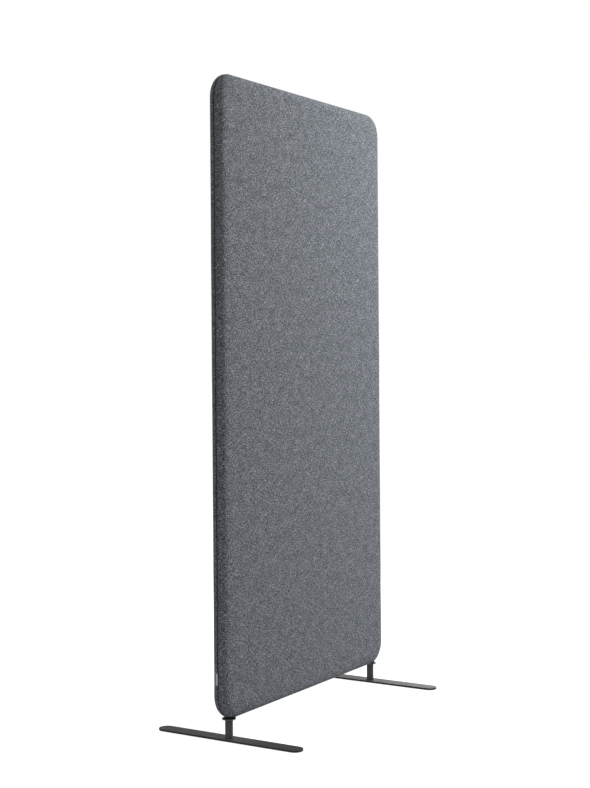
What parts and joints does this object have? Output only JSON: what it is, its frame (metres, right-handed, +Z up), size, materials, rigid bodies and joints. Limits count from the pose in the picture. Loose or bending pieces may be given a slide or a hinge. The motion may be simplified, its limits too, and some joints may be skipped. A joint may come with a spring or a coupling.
{
  "type": "acoustic divider screen",
  "caption": "Free-standing upholstered floor screen with rounded corners and edge, zipped felt covers and flat swivelling foot bars.",
  "frame": {"origin": "on the floor, under the middle of the panel", "axes": "+X along the panel's width, the front face looks to -Y, +Z up"},
  "size_m": [0.805, 0.41, 1.5999],
  "materials": {
    "wool_felt": "melange grey wool felt",
    "zip_tape": "woven charcoal tape",
    "zip_coil": "charcoal nylon coil",
    "zip_metal": "dark lacquered zinc",
    "tab_ribbon": "plain pale ribbon",
    "fibre_pad": "moulded polyester fibre",
    "infill_board": "pressed fibre board",
    "timber": "planed softwood",
    "plain_steel": "zinc plated",
    "collar_plastic": "moulded black plastic",
    "foot_coat": "satin black powder coat",
    "glide_felt": "pressed felt"
  },
  "bodies": {
    "panel": {"cover_front": "wool_felt", "cover_rear": "wool_felt", "zip_tape_front": "zip_tape", "zip_tape_rear": "zip_tape", "zip_coil_front": "zip_coil", "zip_coil_rear": "zip_coil", "zip_stops": "zip_metal", "seam_tab": "tab_ribbon", "pad_front": "fibre_pad", "pad_rear": "fibre_pad", "core_lower": "infill_board", "core_upper": "infill_board", "rail_bottom": "timber", "rail_middle": "timber", "rail_top": "timber", "frame_dowels": "timber", "stile_left": "timber", "threaded_insert_left": "plain_steel", "collar_left": "collar_plastic", "stile_right": "timber", "threaded_insert_right": "plain_steel", "collar_right": "collar_plastic"},
    "slider": {"zip_slider": "zip_metal"},
    "pull": {"zip_pull": "zip_metal"},
    "foot_left": {"post_left": "foot_coat", "stud_left": "plain_steel", "foot_bar_left": "foot_coat", "foot_screw_left": "plain_steel", "foot_glides_left": "glide_felt"},
    "foot_right": {"post_right": "foot_coat", "stud_right": "plain_steel", "foot_bar_right": "foot_coat", "foot_screw_right": "plain_steel", "foot_glides_right": "glide_felt"}
  },
  "joints": [
    {"name": "foot_left_swivel", "type": "hinge", "parent": "panel", "child": "foot_left", "pos_m": [-0.354, 0, 0.0507], "axis": [0, 0, 1], "range_deg": [-90, 90]},
    {"name": "foot_right_swivel", "type": "hinge", "parent": "panel", "child": "foot_right", "pos_m": [0.354, 0, 0.0507], "axis": [0, 0, 1], "range_deg": [-90, 90]},
    {"name": "slider_travel", "type": "slide", "parent": "panel", "child": "slider", "axis": [0, 0, 1], "range_m": [0, 1.4]},
    {"name": "pull_swing", "type": "hinge", "parent": "slider", "child": "pull", "pos_m": [0.40225, 0, 0.1259], "axis": [0, -1, 0], "range_deg": [0, 170]}
  ]
}
